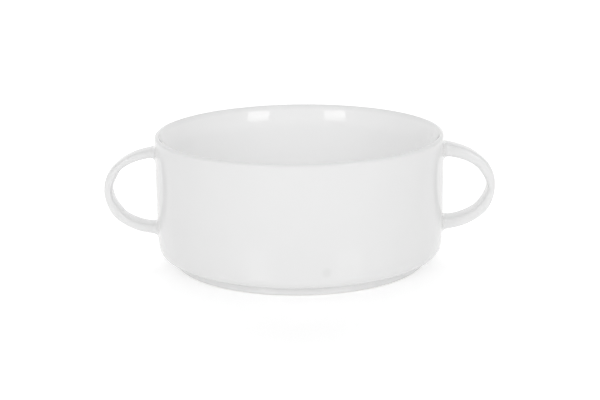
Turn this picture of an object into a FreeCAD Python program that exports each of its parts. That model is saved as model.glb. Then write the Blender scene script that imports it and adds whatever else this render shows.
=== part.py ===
"""Bouillon cup: a low porcelain bowl on a foot ring, with a loop handle on each side.

The cup is fired as one piece, so it is one body.  The axis of the bowl is Z, the foot
ring stands on Z = 0 and the two handles lie along X.  All lengths are in millimetres.
"""
import FreeCAD, Part
import Sketcher
import math
import os

V = FreeCAD.Vector

doc = FreeCAD.newDocument("bouillon_cup")

# Driving sizes: each can be changed by itself
DRIVING = [
    ("rim_diameter", 106.0, "outside of the bowl"),
    ("cup_height", 48.0, "table to lip"),
    ("wall_thickness", 3.5, "wall below the lip"),
    ("lip_thinning", 0.5, "the wall is this much thinner at the lip"),
    ("lip_depth", 7.0, "height over which it thins"),
    ("lip_bevel", 0.9, "both edges of the lip"),
    ("lower_corner_radius", 3.0, "outside, wall to underside"),
    ("bowl_corner_radius", 5.5, "inside, wall to floor"),
    ("base_thickness", 4.2, "floor of the bowl"),
    ("foot_inset", 6.2, "the foot ring stands in from the wall above it"),
    ("foot_height", 3.7, "table to the underside of the bowl"),
    ("foot_ring_width", 3.4, "radial width of the foot ring"),
    ("foot_recess", 2.8, "depth of the hollow inside the foot ring"),
    ("foot_bevel", 0.6, "edges of the foot ring at the table, ground after firing"),
    ("foot_cove", 1.0, "bevel where the foot ring meets the base, inside and out"),
    ("handle_reach", 19.1, "wall to the outermost point of the handle"),
    ("handle_below_lip", 4.95, "lip down to the top of the loop"),
    ("handle_above_table", 10.65, "table up to the bottom of the loop"),
    ("handle_root_depth", 1.5, "the strap starts this deep inside the wall"),
    ("handle_turn", 48.4, "degrees above and below level at which its arcs meet"),
    ("strap_thickness", 2.95, "strap at its outermost point"),
    ("strap_thickening", 0.85, "the strap is this much thicker at the wall"),
    ("strap_width", 8.2, "strap, side to side"),
    ("strap_bevel", 1.0, "long edges of the strap"),
    ("handle_fillet", 1.8, "strap to wall"),
]
# Sizes that follow from them
FOLLOWING = [
    ("rim_radius", "rim_diameter / 2"),
    ("bowl_radius", "rim_radius - wall_thickness"),
    ("mouth_radius", "bowl_radius + lip_thinning"),
    ("thinning_height", "cup_height - lip_depth"),
    ("floor_height", "foot_recess + base_thickness"),
    ("foot_radius", "rim_radius - foot_inset"),
    ("foot_inner_radius", "foot_radius - foot_ring_width"),
    ("root_radius", "rim_radius - handle_root_depth"),
    ("loop_top", "cup_height - handle_below_lip"),
    ("loop_rise", "(loop_top - handle_above_table) / 2"),
    ("loop_height", "handle_above_table + loop_rise"),
    ("loop_reach", "rim_radius + handle_reach - root_radius"),
    ("turn_slope", "tan(handle_turn)"),
    ("end_offset", "(loop_reach - loop_rise) / (1 + turn_slope - sqrt(1 + turn_slope ^ 2))"),
    ("end_centre_radius", "root_radius + end_offset"),
    ("outer_end_radius", "loop_reach - end_offset"),
    ("inner_end_radius", "outer_end_radius - strap_thickness"),
    ("strap_root_thickness", "strap_thickness + strap_thickening"),
]
sizes = doc.addObject("Spreadsheet::Sheet", "Sizes")
rows = [(name, str(value), meaning) for name, value, meaning in DRIVING]
rows += [(name, f"={formula}", formula) for name, formula in FOLLOWING]
for row, (name, content, meaning) in enumerate(rows, start=1):
    sizes.set(f"A{row}", name)
    sizes.set(f"B{row}", content)
    sizes.set(f"C{row}", meaning)
    sizes.setAlias(f"B{row}", name)
doc.recompute()
size = {name: float(sizes.get(name)) for name, content, meaning in rows}

cup = doc.addObject("PartDesign::Body", "BouillonCup")
cup.Label = "bouillon_cup"
cup.Placement = FreeCAD.Placement(V(0, 0, 0), FreeCAD.Rotation())

START, END, CENTRE = 1, 2, 3
ORIGIN = (-1, 1)


def origin_feature(role):
    """The body's own origin plane or axis that has this role."""
    return next(item for item in cup.Origin.OriginFeatures if item.Role == role)


def new_sketch(name, plane):
    """A sketch on an upright plane through the axis: its y is the height."""
    sketch = cup.newObject("Sketcher::SketchObject", name)
    sketch.AttachmentSupport = [(origin_feature(plane), "")]
    sketch.MapMode = "FlatFace"
    return sketch


def line(sketch, start, end, construction=False):
    return sketch.addGeometry(Part.LineSegment(V(*start, 0), V(*end, 0)), construction)


def arc(sketch, centre, start, end):
    """Arc of a circle round this centre, anticlockwise from start to end."""
    circle = Part.Circle(V(*centre, 0), V(0, 0, 1), math.dist(centre, start))
    first, last = (math.atan2(y - centre[1], x - centre[0]) for x, y in (start, end))
    return sketch.addGeometry(Part.ArcOfCircle(circle, first, last), False)


def constrain(sketch, kind, *where):
    sketch.addConstraint(Sketcher.Constraint(kind, *where))


def dimension(sketch, kind, where, name):
    """A dimension that follows this size in the spreadsheet."""
    index = sketch.addConstraint(Sketcher.Constraint(kind, *where, size[name]))
    sketch.setExpression(f"Constraints[{index}]", f"Sizes.{name}")


def section(name, *corners):
    """Closed outline of straight lines, from the axis and back to it.

    Each corner is the name of its radius and of its height, or 0 on the axis or the table.
    """
    sketch = new_sketch(name, "YZ_Plane")
    points = [(size.get(radius, 0), size.get(height, 0)) for radius, height in corners]
    edges = [line(sketch, *ends) for ends in zip(points, points[1:] + points[:1])]
    constrain(sketch, "Vertical", *ORIGIN, edges[0], START)
    if corners[0][1] == 0:
        constrain(sketch, "Horizontal", *ORIGIN, edges[0], START)
    held = {0}
    next_ones = zip(edges[1:] + edges[:1], corners[1:] + corners[:1])
    for edge, (radius, height), (next_edge, next_corner) in zip(edges, corners, next_ones):
        constrain(sketch, "Coincident", edge, END, next_edge, START)
        if radius not in held:
            dimension(sketch, "DistanceX", (*ORIGIN, edge, START), radius)
        if height not in held:
            dimension(sketch, "DistanceY", (*ORIGIN, edge, START), height)
        if radius == next_corner[0]:
            constrain(sketch, "Vertical", edge)
        if height == next_corner[1]:
            constrain(sketch, "Horizontal", edge)
        held |= {radius, height}
    return sketch


def turn(kind, name, sketch):
    """Turn a section round the axis of the cup, to add it or to cut it out."""
    feature = cup.newObject(f"PartDesign::{kind}", name)
    feature.Profile = sketch
    feature.ReferenceAxis = (sketch, ["V_Axis"])
    feature.Angle = 360.0
    cup.Tip = feature
    doc.recompute()


def soften(kind, name, size_name, picks):
    """Fillet or chamfer those edges of the body so far that picks is true for."""
    base = cup.Tip
    names = [f"Edge{i}" for i, edge in enumerate(base.Shape.Edges, start=1) if picks(edge)]
    feature = cup.newObject(f"PartDesign::{kind}", name)
    feature.Base = (base, names)
    feature.setExpression("Radius" if kind == "Fillet" else "Size", f"Sizes.{size_name}")
    cup.Tip = feature
    doc.recompute()


def rings(*places):
    """Picks the full circles that have one of these radii at the height beside it."""

    def picks(edge):
        return isinstance(edge.Curve, Part.Circle) and any(
            math.isclose(edge.Curve.Radius, size[radius], abs_tol=0.01)
            and math.isclose(edge.CenterOfMass.z, size.get(height, 0), abs_tol=0.01)
            for radius, height in places
        )

    return picks


# Outer form: foot, underside and upright wall
outer = section(
    "OuterSection",
    (0, 0),
    ("foot_radius", 0),
    ("foot_radius", "foot_height"),
    ("rim_radius", "foot_height"),
    ("rim_radius", "cup_height"),
    (0, "cup_height"),
)
turn("Revolution", "OuterForm", outer)

# Handle loops: a strap between two arches of three arcs each, rooted inside the wall
root_x, middle_y, end_offset = size["root_radius"], size["loop_height"], size["end_offset"]
end_centre = (root_x + end_offset, middle_y)
turn_angle = math.radians(size["handle_turn"])
turn_x, turn_y = math.cos(turn_angle), math.sin(turn_angle)


def arch(sketch, end_radius, rise):
    """Lower, end and upper arc, from this far below the middle of the root to as far above.

    They meet where a spoke from the end arc's centre stands at the turn angle.
    """
    spoke = (rise**2 + end_offset**2 - end_radius**2) / (
        2 * (end_radius + end_offset * turn_x - rise * turn_y)
    )
    side_x = end_centre[0] - spoke * turn_x
    side_drop = spoke * turn_y
    join_x = end_centre[0] + end_radius * turn_x
    lower_join = (join_x, middle_y - end_radius * turn_y)
    upper_join = (join_x, middle_y + end_radius * turn_y)
    lower = arc(sketch, (side_x, middle_y + side_drop), (root_x, middle_y - rise), lower_join)
    end = arc(sketch, end_centre, lower_join, upper_join)
    upper = arc(sketch, (side_x, middle_y - side_drop), upper_join, (root_x, middle_y + rise))
    constrain(sketch, "Tangent", lower, END, end, START)
    constrain(sketch, "Tangent", end, END, upper, START)
    constrain(sketch, "Equal", lower, upper)
    return lower, end, upper


outer_rise = size["loop_rise"]
inner_rise = outer_rise - size["strap_root_thickness"]
outer_end_radius = size["outer_end_radius"]

loop = new_sketch("HandleLoop", "XZ_Plane")
outer_lower, outer_end, outer_upper = arch(loop, outer_end_radius, outer_rise)
inner_lower, inner_end, inner_upper = arch(loop, size["inner_end_radius"], inner_rise)
upper_root = line(loop, (root_x, middle_y + outer_rise), (root_x, middle_y + inner_rise))
lower_root = line(loop, (root_x, middle_y - inner_rise), (root_x, middle_y - outer_rise))
constrain(loop, "Vertical", upper_root)
constrain(loop, "Vertical", lower_root)
constrain(loop, "Coincident", outer_upper, END, upper_root, START)
constrain(loop, "Coincident", inner_upper, END, upper_root, END)
constrain(loop, "Coincident", inner_lower, START, lower_root, START)
constrain(loop, "Coincident", outer_lower, START, lower_root, END)
constrain(loop, "Coincident", outer_end, CENTRE, inner_end, CENTRE)
# The outside sets off level from the wall
constrain(loop, "Vertical", outer_lower, CENTRE, outer_lower, START)
constrain(loop, "Vertical", outer_upper, CENTRE, outer_upper, END)
# The arcs of the inside meet on the same two spokes as those of the outside
for join, side in ((START, -1), (END, 1)):
    spoke_end = (
        end_centre[0] + outer_end_radius * turn_x,
        middle_y + side * outer_end_radius * turn_y,
    )
    spoke = line(loop, end_centre, spoke_end, construction=True)
    constrain(loop, "Coincident", spoke, START, outer_end, CENTRE)
    constrain(loop, "Coincident", spoke, END, outer_end, join)
    constrain(loop, "PointOnObject", inner_end, join, spoke)
dimension(loop, "DistanceX", (*ORIGIN, outer_end, CENTRE), "end_centre_radius")
dimension(loop, "DistanceY", (*ORIGIN, outer_end, CENTRE), "loop_height")
dimension(loop, "DistanceX", (*ORIGIN, upper_root, START), "root_radius")
dimension(loop, "DistanceY", (*ORIGIN, upper_root, START), "loop_top")
dimension(loop, "DistanceX", (*ORIGIN, lower_root, END), "root_radius")
dimension(loop, "DistanceY", (upper_root, END, upper_root, START), "strap_root_thickness")
dimension(loop, "Radius", (outer_end,), "outer_end_radius")
dimension(loop, "Radius", (inner_end,), "inner_end_radius")

strap = cup.newObject("PartDesign::Pad", "HandleStrap")
strap.Profile = loop
strap.Midplane = True
strap.setExpression("Length", "Sizes.strap_width")
doc.recompute()

other_strap = cup.newObject("PartDesign::Mirrored", "OtherHandleStrap")
other_strap.Originals = [strap]
other_strap.MirrorPlane = (origin_feature("YZ_Plane"), [""])
cup.Tip = other_strap
doc.recompute()


def is_strap_edge(edge):
    """An arc of the two arches, on either side of either strap."""
    return isinstance(edge.Curve, Part.Circle) and math.isclose(
        abs(edge.CenterOfMass.y), size["strap_width"] / 2, abs_tol=0.01
    )


soften("Chamfer", "StrapEdges", "strap_bevel", is_strap_edge)

wall_edges = max(cup.Tip.Shape.Faces, key=lambda face: face.Area).Edges


def is_root_edge(edge):
    """An edge of the wall that is none of its rings and not its seam: those have no x."""
    return abs(edge.CenterOfMass.x) > 1 and any(edge.isSame(other) for other in wall_edges)


soften("Fillet", "HandleRoots", "handle_fillet", is_root_edge)

# Hollows: the bowl, its wall thinning towards the lip, and the recess inside the foot ring
bowl = section(
    "BowlSection",
    (0, "floor_height"),
    ("bowl_radius", "floor_height"),
    ("bowl_radius", "thinning_height"),
    ("mouth_radius", "cup_height"),
    (0, "cup_height"),
)
turn("Groove", "BowlHollow", bowl)

recess = section(
    "RecessSection",
    (0, 0),
    ("foot_inner_radius", 0),
    ("foot_inner_radius", "foot_recess"),
    (0, "foot_recess"),
)
turn("Groove", "FootRecess", recess)

# Softened edges of the bowl and of the foot
bowl_corner = rings(("bowl_radius", "floor_height"))
soften("Fillet", "BowlCorner", "bowl_corner_radius", bowl_corner)
lower_corner = rings(("rim_radius", "foot_height"))
soften("Fillet", "LowerCorner", "lower_corner_radius", lower_corner)
lip_edges = rings(("rim_radius", "cup_height"), ("mouth_radius", "cup_height"))
soften("Chamfer", "LipEdges", "lip_bevel", lip_edges)
foot_edges = rings(("foot_radius", 0), ("foot_inner_radius", 0))
soften("Chamfer", "FootEdges", "foot_bevel", foot_edges)
foot_coves = rings(("foot_radius", "foot_height"), ("foot_inner_radius", "foot_recess"))
soften("Chamfer", "FootCoves", "foot_cove", foot_coves)

# Nothing may have failed on the way, and every sketch is held by its dimensions
for item in doc.Objects:
    if {"Invalid", "Error"} & set(item.State):
        raise RuntimeError(f"{item.Name} did not build")
    if item.TypeId == "Sketcher::SketchObject" and not item.FullyConstrained:
        raise RuntimeError(f"{item.Name} is not fully constrained")
shape = cup.Shape
if shape.isNull() or not shape.isValid() or len(shape.Solids) != 1:
    raise RuntimeError("the cup is not one sound solid")

os.makedirs("parts", exist_ok=True)
shape.exportStep(f"parts/{cup.Label}.step")

bounds = shape.optimalBoundingBox(True, False)
print(f"{cup.Label}: {bounds.XLength:.2f} x {bounds.YLength:.2f} x {bounds.ZLength:.2f} mm")
print(f"solid {shape.Volume / 1000:.1f} cm3, {len(shape.Faces)} faces")
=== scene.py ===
import bpy
import bmesh
from math import radians, sin, cos, tan, sqrt, pi
from mathutils import Matrix, Vector


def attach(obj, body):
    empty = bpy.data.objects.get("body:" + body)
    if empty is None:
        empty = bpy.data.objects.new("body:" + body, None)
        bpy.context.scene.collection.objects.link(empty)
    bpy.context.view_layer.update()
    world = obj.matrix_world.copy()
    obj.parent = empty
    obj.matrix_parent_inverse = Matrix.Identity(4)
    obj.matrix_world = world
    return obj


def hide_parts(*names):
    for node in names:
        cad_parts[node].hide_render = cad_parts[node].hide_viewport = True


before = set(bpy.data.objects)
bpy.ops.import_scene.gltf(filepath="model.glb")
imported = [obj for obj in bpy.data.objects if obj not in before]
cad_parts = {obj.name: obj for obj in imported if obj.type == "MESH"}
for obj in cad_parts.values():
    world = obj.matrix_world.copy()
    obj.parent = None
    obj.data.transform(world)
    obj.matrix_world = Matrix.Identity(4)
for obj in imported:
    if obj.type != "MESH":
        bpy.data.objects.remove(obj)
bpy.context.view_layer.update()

MM = 0.001

# The camera stands in front of the cup and a little above its lip, as in the
# photograph: 560 mm from the cup's middle, about 15 degrees up, with a long
# lens so that the rim stays nearly flat.
camera_place = Vector((-5.42, -542.06, 164.51)) * MM
camera_aim = Vector((0.04, 0.0, 22.03)) * MM
camera_roll = radians(-0.649)
sensor_mm = 36.0
lens_mm = 90.59

lens = bpy.data.cameras.new("camera")
lens.sensor_fit = "HORIZONTAL"
lens.sensor_width = sensor_mm
lens.lens = lens_mm
lens.clip_start, lens.clip_end = 0.01, 20.0
camera = bpy.data.objects.new("camera", lens)
bpy.context.scene.collection.objects.link(camera)
camera.rotation_mode = "QUATERNION"
facing = (camera_aim - camera_place).to_track_quat("-Z", "Y")
camera.rotation_quaternion = facing @ Matrix.Rotation(camera_roll, 3, "Z").to_quaternion()
camera.location = camera_place
bpy.context.scene.camera = camera

# The bowl is thrown or jolleyed in porcelain on a wheel: one round form with
# an upright wall, a softened lip and a narrow foot ring. Half of it is turned
# here, in millimetres, and mirrored once its handle is on.
rim_radius = 53.0
cup_height = 48.0
bowl_radius = 49.0
floor_height = 7.0
foot_radius = 46.8
foot_inner_radius = 43.4
foot_height = 3.7
foot_recess = 2.8
foot_taper = 0.1
turn_in_top = 21.7                 # below this height the wall leans in to the foot
turn_in = 0.3                      # by this much at its lower corner
columns = 48                       # over half a circle
spread = 0.9996                    # a hair in, so that the form stays inside the solid's box
same_place = 0.01                  # how near a corner stands to the ring it belongs to
pole_weld = 0.001                  # closes the form where the section meets the axis

root_thickness = 3.8               # of the handle's strap, at the wall
upper_root = 43.05 - root_thickness / 2
lower_root = 10.65 + root_thickness / 2
root_patch = 4.1                   # half height of the wall patch round a root

# radius, height, radius of the ring's rounding, segments
section = [
    (0.0, floor_height, 0, 0),
    (14.0, floor_height, 0, 0),
    (28.0, floor_height, 0, 0),
    (bowl_radius - 0.3, floor_height, 5.5, 4),
    (bowl_radius, 18.0, 0, 0),
    (bowl_radius, 30.0, 0, 0),
    (bowl_radius, 38.5, 0, 0),
    (bowl_radius + 0.13, 40.5, 0, 0),
    (bowl_radius + 0.53, 42.5, 0, 0),
    (bowl_radius + 1.13, 44.5, 0, 0),
    (bowl_radius + 1.79, 46.4, 0, 0),
    (bowl_radius + 2.14, 47.15, 0, 0),
    (bowl_radius + 2.70, cup_height, 0.3, 2),
    (rim_radius, cup_height, 1.1, 3),
    (rim_radius, upper_root + root_patch, 0, 0),
    (rim_radius, upper_root, 0, 0),
    (rim_radius, upper_root - root_patch, 0, 0),
    (rim_radius, 32.0, 0, 0),
    (rim_radius, 26.85, 0, 0),
    (rim_radius, turn_in_top, 0, 0),
    (rim_radius - 0.02, lower_root + root_patch, 0, 0),
    (rim_radius - 0.12, lower_root, 0, 0),
    (rim_radius - turn_in, lower_root - root_patch, 0, 0),
    (rim_radius - 0.75, foot_height, 3.0, 3),
    (foot_radius, foot_height, 1.0, 2),
    (foot_radius - foot_taper, 0.0, 0.7, 2),
    (foot_inner_radius + foot_taper, 0.0, 0.7, 2),
    (foot_inner_radius, foot_recess, 1.0, 2),
    (28.0, foot_recess, 0, 0),
    (14.0, foot_recess, 0, 0),
    (0.0, foot_recess, 0, 0),
]

cup = bmesh.new()
chain = [cup.verts.new((0.0, -r * spread, z)) for r, z, _, _ in section]
for a, b in zip(chain, chain[1:]):
    cup.edges.new((a, b))
bmesh.ops.spin(cup, geom=cup.verts[:] + cup.edges[:], cent=(0, 0, 0), axis=(0, 0, 1),
               angle=pi, steps=columns)
bmesh.ops.remove_doubles(cup, verts=cup.verts, dist=pole_weld)


def ring_edges(radius, height):
    """The edges of the ring that a corner of the section leaves in the turned form."""
    def on(v):
        return (abs(v.co.xy.length - radius * spread) < same_place
                and abs(v.co.z - height) < same_place)
    return [e for e in cup.edges if on(e.verts[0]) and on(e.verts[1])]


for row, (r, z, rounding, segments) in enumerate(section):
    if rounding:
        before = Vector((section[row - 1][0] - r, section[row - 1][1] - z))
        after = Vector((section[row + 1][0] - r, section[row + 1][1] - z))
        setback = rounding / tan(before.angle(after) / 2)
        bmesh.ops.bevel(cup, geom=ring_edges(r, z), offset=setback, offset_type="OFFSET",
                        segments=segments, profile=0.5, affect="EDGES", material=-1,
                        clamp_overlap=True)

# The handle is a flat strap of porcelain, pulled or cast, bent to a loop and
# luted to the leather-hard wall at both ends. It is drawn here out of the wall
# itself, so that its roots blend as the slip and glaze make them.
strap_half_width = 4.12
strap_halfway, strap_edge, strap_side = 0.62, 0.94, 1.02     # shares of that across its section
strap_edge_thin = 0.80             # share of its thickness left at the rounded edges
root_blend = 1.5
root_spread = 1.6                  # the blend runs out this much further to the sides
turn_in_run = 13.2                 # the wall's lean, drawn as a curve over this height
turn_in_power = 1.6

# Each face of the loop is an arc round the loop's centre, and past the knee a
# wider arc, the shoulder, which brings it level to the wall.
loop_centre = Vector((58.595, 0.0, 26.85))
loop_outer, loop_inner = 13.505, 10.555
knee_outer, knee_inner = 48.4, 60.85                # degrees round the loop
shoulder_outer, shoulder_inner = 24.19, 25.12
shoulder_outer_height, shoulder_inner_height = 18.859, 14.13    # of the upper arcs' centres
shoulder_reach = 51.5                               # and their distance from the cup's axis
loop_ease = 0.9985                 # a hair in, so that the loop stays inside the solid's box
strap_turns = list(range(77, -1, -7))               # degrees round the loop, down to its middle

across = cup.verts.layers.float.new("across")
through = cup.verts.layers.float.new("through")
round_loop = cup.verts.layers.float.new("round_loop")      # degrees, and 0 off the strap


def wall_patch(height):
    """The wall's faces that a root grows from, with each corner's place in the strap noted."""
    patch_depth = 1.5
    reach = rim_radius * spread * sin(2 * pi / columns)
    inside = [f for f in cup.faces
              if abs(f.calc_center_median().z - height) < root_patch
              and f.calc_center_median().x > 0
              and abs(f.calc_center_median().y) < reach
              and f.calc_center_median().xy.length > rim_radius - patch_depth]
    for v in {v for f in inside for v in f.verts}:
        v[across] = round(v.co.y / reach * 2) / 2
        v[through] = round((v.co.z - height) / root_patch)
    return inside


def outline(faces):
    """The edges round a patch of faces."""
    inside = set(faces)
    return [e for e in {e for f in faces for e in f.edges}
            if sum(g in inside for g in e.link_faces) == 1]


def drawn_on(faces, turn, stand):
    """Extrudes the strap's end and puts each of its corners where stand() says."""
    made = bmesh.ops.extrude_face_region(cup, geom=faces)["geom"]
    tip = [g for g in made if isinstance(g, bmesh.types.BMFace)]
    bmesh.ops.delete(cup, geom=faces, context="FACES")
    for v in {v for f in tip for v in f.verts}:
        v.co = stand(v[across], v[through])
        v[round_loop] = turn
    return tip


def rounded(u, t):
    """A corner of the strap's section, as shares of its half width and half thickness."""
    corner = abs(u) == 1 and abs(t) == 1
    wide = {0: 0.0, 0.5: strap_halfway, 1: strap_edge if corner else strap_side}[abs(u)]
    return (wide if u > 0 else -wide), t * (strap_edge_thin if corner else 1.0)


def on_wall(height, grow, out, up):
    """The strap's section by the wall: wider and thicker by grow, and out from the wall."""
    half = root_thickness / 2 + grow

    def stand(u, t):
        w, h = rounded(u, t)
        y = w * (strap_half_width + root_spread * grow)
        z = height + up * h * half
        lean = max(0.0, (turn_in_top - z) / turn_in_run)
        wall = rim_radius * spread - turn_in * lean ** turn_in_power
        return Vector((sqrt(wall ** 2 - y ** 2) + out, y, z))
    return stand


def arc_point(turn, loop, knee, shoulder, shoulder_height):
    """A point on one face of the loop, below the knee on its arc and past it on the shoulder's."""
    a = radians(turn)
    if abs(turn) <= knee:
        return loop_centre + Vector((cos(a), 0, sin(a))) * loop * loop_ease
    centre_z = shoulder_height if turn >= 0 else 2 * loop_centre.z - shoulder_height
    return Vector((shoulder_reach + shoulder * cos(a), 0, centre_z + shoulder * sin(a)))


def on_loop(turn):
    """The strap's section on the loop."""
    outer = arc_point(turn, loop_outer, knee_outer, shoulder_outer, shoulder_outer_height)
    inner = arc_point(turn, loop_inner, knee_inner, shoulder_inner, shoulder_inner_height)

    def stand(u, t):
        w, h = rounded(u, t)
        return (outer + inner) / 2 + (outer - inner) / 2 * h + Vector((0, w * strap_half_width, 0))
    return stand


# Out of the wall in three rings of blend, round the loop, and back in by three.
tip = wall_patch(upper_root)
landing = wall_patch(lower_root)
early = 0.25 * root_blend
steps = [(90, on_wall(upper_root, root_blend, 0.0, 1)),
         (88, on_wall(upper_root, early, early, 1)),
         (86, on_wall(upper_root, 0.0, root_blend, 1))]
steps += [(turn, on_loop(turn)) for turn in strap_turns + [-t for t in strap_turns[-2::-1]]]
steps += [(-86, on_wall(lower_root, 0.0, root_blend, -1)),
          (-88, on_wall(lower_root, early, early, -1)),
          (-90, on_wall(lower_root, root_blend, 0.0, -1))]
for turn, stand in steps:
    tip = drawn_on(tip, turn, stand)
meeting = outline(tip) + outline(landing)
bmesh.ops.delete(cup, geom=tip + landing, context="FACES")
bmesh.ops.bridge_loops(cup, edges=meeting)

seam_weld = 0.02 * MM              # joins the two halves
bmesh.ops.transform(cup, matrix=Matrix.Scale(MM, 4), verts=cup.verts)
bmesh.ops.mirror(cup, geom=cup.verts[:] + cup.edges[:] + cup.faces[:],
                 matrix=Matrix.Identity(4), merge_dist=seam_weld, axis="X")
bmesh.ops.remove_doubles(cup, verts=cup.verts, dist=seam_weld)
bmesh.ops.recalc_face_normals(cup, faces=cup.faces)

# The handles were fettled by hand, so the right one is a little stouter than
# the left: degrees round the loop, then how far the outer and the inner face
# stand off the drawn strap, in mm, with more of each making it thicker.
fettled = {
    "right": [(90, 0.20, 0.75), (84, 0.50, 0.60), (70, 0.42, 0.42), (55, 0.50, 0.50),
              (40, 0.50, 0.60), (25, 0.36, 0.50), (12, 0.15, 0.10), (0, 0.0, -0.30),
              (-12, 0.0, -0.10), (-25, 0.10, 0.35), (-40, 0.30, 0.40), (-60, 0.25, 0.42),
              (-75, 0.0, 0.50), (-84, -0.20, 0.90), (-90, -0.40, 1.10)],
    "left": [(90, -0.35, -0.20), (84, -0.30, -0.27), (70, -0.10, -0.45), (50, 0.05, -0.30),
             (40, 0.15, 0.0), (28, 0.15, 0.30), (12, 0.05, 0.10), (0, 0.0, 0.0),
             (-12, -0.05, 0.10), (-22, -0.05, 0.30), (-40, 0.35, 0.40), (-60, 0.40, -0.25),
             (-75, 0.25, -0.42), (-84, -0.05, -0.15), (-90, -0.05, -0.10)],
}
loop_only = 68 * MM                # past this the strap alone reaches out


def between(rows, turn, column):
    """A column's value at a turn, read between its rows."""
    for high, low in zip(rows, rows[1:]):
        if low[0] <= turn <= high[0]:
            share = (turn - low[0]) / (high[0] - low[0])
            return low[column] + share * (high[column] - low[column])
    return 0.0


for v in cup.verts:
    turn = v[round_loop]
    if turn or abs(v.co.x) > loop_only:
        right = v.co.x > 0
        rows = fettled["right" if right else "left"]
        outward = Vector((cos(radians(turn)) * (1 if right else -1), 0, sin(radians(turn))))
        outer_share, inner_share = (1 + v[through]) / 2, (1 - v[through]) / 2
        offset = between(rows, turn, 1) * outer_share - between(rows, turn, 2) * inner_share
        v.co += outward * offset * MM
for face in cup.faces:
    face.smooth = True

cup_mesh = bpy.data.meshes.new("cup")
cup.to_mesh(cup_mesh)
cup.free()
cup_body = bpy.data.objects.new("cup", cup_mesh)
bpy.context.scene.collection.objects.link(cup_body)
smoothing = cup_body.modifiers.new("smoothing", "SUBSURF")
smoothing.levels = smoothing.render_levels = 2

# Glazed hard-paste porcelain: a dense white body under a clear, glassy glaze
# that was fired on. The eye sees an even white with a sharp gloss and a hint of
# waviness in it, and a matt, duller foot, where the glaze is wiped off.
body_lighter, body_darker = "#EDEDED", "#EBEBEB"
body_drift = 14 * MM               # the size of the body's slow changes of tone
painted_light_white = "#FAFAFA"           # painted light: the bowl's inside is painted whiter, to lift the shade that the hollow casts on itself
painted_light_edge = (50.6 * MM, 51.9 * MM)   # from the axis, where it fades out on the lip
painted_light_foot = (4.6 * MM, 5.4 * MM)     # heights in the base, where it begins
bare_white = "#E2E0DA"
bare_height = (0.10 * MM, 0.35 * MM)   # bare below the first, glazed above the second
painted_reflection_grey = "#E6E6E6"             # painted reflection: a faint grey spot, the camera mirrored dark in the glaze
painted_reflection_place = Vector((8.41, -52.13, 9.94)) * MM
painted_reflection_radius = (0.5 * MM, 2.4 * MM)    # full grey inside the first, gone past the second
glaze_ior = 1.5
glaze_roughness, bare_roughness = 0.02, 0.55
glaze_wave, wave_depth, wave_strength = 9.0 * MM, 0.05 * MM, 0.25
glaze_pit, pit_depth, pit_strength = 1.1 * MM, 0.02 * MM, 0.08
MIX_A, MIX_B, MIXED = 6, 7, 2      # the colour sockets of a Mix node


def linear(hex_colour):
    """The linear colour of an sRGB hex value."""
    channels = [int(hex_colour[i:i + 2], 16) / 255 for i in (1, 3, 5)]
    return [c / 12.92 if c <= 0.04045 else ((c + 0.055) / 1.055) ** 2.4 for c in channels] + [1.0]


def node(tree, kind, links=None, **settings):
    """Adds one shader node, with its settings and what feeds its sockets."""
    made = tree.nodes.new(kind)
    for name, value in settings.items():
        setattr(made, name, value)
    for socket, value in (links or {}).items():
        if isinstance(value, bpy.types.NodeSocket):
            tree.links.new(value, made.inputs[socket])
        else:
            made.inputs[socket].default_value = value
    return made


porcelain = bpy.data.materials.new("glazed_porcelain")
porcelain.use_nodes = True
tree = porcelain.node_tree
tree.nodes.clear()
on_cup = node(tree, "ShaderNodeTexCoord").outputs["Object"]
height = node(tree, "ShaderNodeSeparateXYZ", {"Vector": on_cup}).outputs["Z"]

drift = node(tree, "ShaderNodeTexNoise", {"Vector": on_cup, "Scale": 1 / body_drift,
                                          "Detail": 3.0, "Roughness": 0.5})
body = node(tree, "ShaderNodeMix", {"Factor": drift.outputs["Fac"],
                                    MIX_A: linear(body_lighter), MIX_B: linear(body_darker)},
            data_type="RGBA")

# Painted light: a mask of the bowl's inside, above its floor and inward of the lip, where the
# colour is whitened against the hollow's own shade.
flat = node(tree, "ShaderNodeVectorMath", {0: on_cup, 1: (1, 1, 0)}, operation="MULTIPLY")
from_axis = node(tree, "ShaderNodeVectorMath", {0: flat.outputs[0]}, operation="LENGTH")
within = node(tree, "ShaderNodeMapRange", {"Value": from_axis.outputs["Value"],
                                           "From Min": painted_light_edge[0], "From Max": painted_light_edge[1],
                                           "To Min": 1.0, "To Max": 0.0})
above = node(tree, "ShaderNodeMapRange", {"Value": height, "From Min": painted_light_foot[0],
                                          "From Max": painted_light_foot[1]})
painted_light_mask = node(tree, "ShaderNodeMath", {0: within.outputs[0], 1: above.outputs[0]},
                 operation="MULTIPLY")
with_painted_light = node(tree, "ShaderNodeMix", {"Factor": painted_light_mask.outputs[0], MIX_A: body.outputs[MIXED],
                                     MIX_B: linear(painted_light_white)}, data_type="RGBA")

# Painted reflection: the camera's lens, mirrored dark in the glaze low on the front, painted as a
# soft grey spot.
from_painted_reflection = node(tree, "ShaderNodeVectorMath", {0: on_cup, 1: painted_reflection_place}, operation="DISTANCE")
painted_reflection_mask = node(tree, "ShaderNodeMapRange", {"Value": from_painted_reflection.outputs["Value"],
                                          "From Min": painted_reflection_radius[0], "From Max": painted_reflection_radius[1],
                                          "To Min": 1.0, "To Max": 0.0},
             interpolation_type="SMOOTHSTEP")
with_painted_reflection = node(tree, "ShaderNodeMix", {"Factor": painted_reflection_mask.outputs["Result"],
                                       MIX_A: with_painted_light.outputs[MIXED],
                                       MIX_B: linear(painted_reflection_grey)}, data_type="RGBA")

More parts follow.
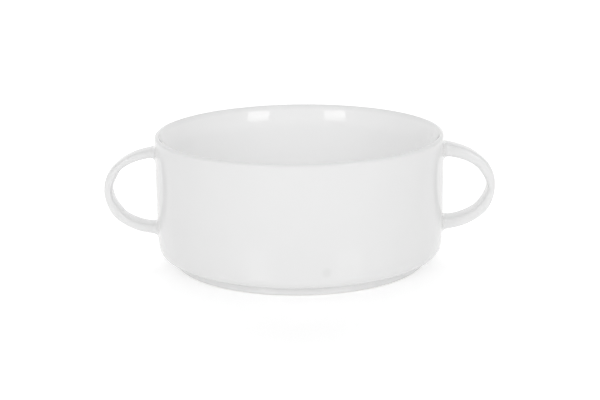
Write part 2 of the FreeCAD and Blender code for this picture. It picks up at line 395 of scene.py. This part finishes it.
bare = node(tree, "ShaderNodeMapRange", {"Value": height, "From Min": bare_height[0],
                                         "From Max": bare_height[1], "To Min": 1.0, "To Max": 0.0})
colour = node(tree, "ShaderNodeMix", {"Factor": bare.outputs["Result"],
                                      MIX_A: with_painted_reflection.outputs[MIXED],
                                      MIX_B: linear(bare_white)}, data_type="RGBA")
gloss = node(tree, "ShaderNodeMapRange", {"Value": bare.outputs["Result"],
                                          "To Min": glaze_roughness, "To Max": bare_roughness})

wave = node(tree, "ShaderNodeTexNoise", {"Vector": on_cup, "Scale": 1 / glaze_wave, "Detail": 1.0})
pit = node(tree, "ShaderNodeTexNoise", {"Vector": on_cup, "Scale": 1 / glaze_pit, "Detail": 2.0})
waves = node(tree, "ShaderNodeBump", {"Height": wave.outputs["Fac"], "Strength": wave_strength,
                                      "Distance": wave_depth})
pits = node(tree, "ShaderNodeBump", {"Height": pit.outputs["Fac"], "Strength": pit_strength,
                                     "Distance": pit_depth, "Normal": waves.outputs["Normal"]})
glazed = node(tree, "ShaderNodeBsdfPrincipled", {"Base Color": colour.outputs[MIXED],
                                                 "IOR": glaze_ior,
                                                 "Roughness": gloss.outputs["Result"],
                                                 "Normal": pits.outputs["Normal"]})
node(tree, "ShaderNodeOutputMaterial", {"Surface": glazed.outputs["BSDF"]})
cup_mesh.materials.append(porcelain)

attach(cup_body, "root")
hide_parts("bouillon_cup")

# The floor is a sheet of white acrylic, faintly lit from below as a light table
# is. It goes to clear white in the picture, as the photograph's background
# does, and keeps a soft shadow. Its gloss shows the softboxes to the low wall.
sheet_half = 4.0                   # m
sheet_white = "#F0F0F0"
sheet_roughness = 0.02
sheet_ior = 2.2                    # stronger than acrylic, so that the faint patches show
table_glow = 0.20
seen_glow = (0.14, 0.45)           # more glow for the eye, by the cup and far from it
seen_glow_from = (0.25, 0.80)      # m from the cup's middle

floor_mesh = bpy.data.meshes.new("floor")
sheet = bmesh.new()
bmesh.ops.create_grid(sheet, x_segments=1, y_segments=1, size=sheet_half)
sheet.to_mesh(floor_mesh)
sheet.free()
floor = bpy.data.objects.new("floor", floor_mesh)
bpy.context.scene.collection.objects.link(floor)


def seen_as_white(tree, ray):
    """1 for the camera's rays and those that a gloss or a glass sends on, otherwise 0."""
    either = node(tree, "ShaderNodeMath", {0: ray.outputs["Is Camera Ray"],
                                           1: ray.outputs["Is Glossy Ray"]}, operation="ADD")
    return node(tree, "ShaderNodeMath", {0: either.outputs[0],
                                         1: ray.outputs["Is Transmission Ray"]},
                operation="ADD", use_clamp=True).outputs[0]


acrylic = bpy.data.materials.new("white_acrylic_sheet")
acrylic.use_nodes = True
tree = acrylic.node_tree
tree.nodes.clear()
ray = node(tree, "ShaderNodeLightPath")
on_sheet = node(tree, "ShaderNodeTexCoord").outputs["Object"]
from_cup = node(tree, "ShaderNodeVectorMath", {0: on_sheet}, operation="LENGTH")
far = node(tree, "ShaderNodeMapRange", {"Value": from_cup.outputs["Value"],
                                        "From Min": seen_glow_from[0],
                                        "From Max": seen_glow_from[1],
                                        "To Min": seen_glow[0], "To Max": seen_glow[1]})
lift = node(tree, "ShaderNodeMath", {0: seen_as_white(tree, ray), 1: far.outputs["Result"],
                                     2: table_glow}, operation="MULTIPLY_ADD")
matt = node(tree, "ShaderNodeBsdfDiffuse", {"Color": linear(sheet_white)})
glow = node(tree, "ShaderNodeEmission", {"Color": (1, 1, 1, 1), "Strength": lift.outputs[0]})
both = node(tree, "ShaderNodeAddShader", {0: matt.outputs[0], 1: glow.outputs[0]})
sheen = node(tree, "ShaderNodeFresnel", {"IOR": sheet_ior})
sheen_in_glaze = node(tree, "ShaderNodeMath", {0: sheen.outputs[0],
                                               1: ray.outputs["Is Glossy Ray"]},
                      operation="MULTIPLY")
mirror = node(tree, "ShaderNodeBsdfGlossy", {"Color": (1, 1, 1, 1), "Roughness": sheet_roughness})
sheet_look = node(tree, "ShaderNodeMixShader", {0: sheen_in_glaze.outputs[0],
                                                1: both.outputs[0], 2: mirror.outputs[0]})
node(tree, "ShaderNodeOutputMaterial", {"Surface": sheet_look.outputs[0]})
floor_mesh.materials.append(acrylic)

# The room is a white tent: even light from all round, and two softboxes at the
# front, 34 and 37.5 degrees to the sides, each brighter in its upper half. Broad
# fills light the front, sides and back, and the glaze doesn't mirror them.
tent_light, tent_seen = 0.50, 1.0
cup_middle = Vector((0, 0, 24)) * MM

room = bpy.data.worlds.new("white_tent")
bpy.context.scene.world = room
room.use_nodes = True
tree = room.node_tree
tree.nodes.clear()
ray = node(tree, "ShaderNodeLightPath")
cloth = node(tree, "ShaderNodeMapRange", {"Value": seen_as_white(tree, ray),
                                          "To Min": tent_light, "To Max": tent_seen})
tent = node(tree, "ShaderNodeBackground", {"Color": (1, 1, 1, 1),
                                           "Strength": cloth.outputs["Result"]})
node(tree, "ShaderNodeOutputWorld", {"Surface": tent.outputs[0]})


def lamp_at(name, azimuth, elevation, distance, width, height, power, mirrored=True):
    """An area lamp that faces the cup: angles in degrees, sizes in m, power in W."""
    lamp = bpy.data.lights.new(name, "AREA")
    lamp.shape = "RECTANGLE"
    lamp.size, lamp.size_y, lamp.energy = width, height, power
    holder = bpy.data.objects.new(name, lamp)
    bpy.context.scene.collection.objects.link(holder)
    a, e = radians(azimuth), radians(elevation)
    toward = Vector((sin(a) * cos(e), -cos(a) * cos(e), sin(e)))
    holder.location = cup_middle + toward * distance
    holder.rotation_euler = (-toward).to_track_quat("-Z", "Y").to_euler()
    holder.visible_camera = False
    holder.visible_glossy = mirrored


for side, azimuth in (("left", -34.0), ("right", 37.5)):
    lamp_at(side + "_softbox_upper", azimuth, 25.5, 1.2, 0.39, 0.19, 0.70)
    lamp_at(side + "_softbox_lower", azimuth, 18.0, 1.2, 0.39, 0.125, 0.29)
lamp_at("front_fill", 0.0, 23.0, 1.4, 1.0, 1.0, 4.1, mirrored=False)
lamp_at("left_fill", -90.0, 35.0, 1.4, 1.0, 1.0, 1.0, mirrored=False)
lamp_at("right_fill", 90.0, 35.0, 1.4, 1.0, 1.0, 1.0, mirrored=False)
lamp_at("back_fill", 180.0, 30.0, 1.2, 1.6, 1.0, 7.6, mirrored=False)

bpy.context.scene.view_settings.view_transform = "Standard"
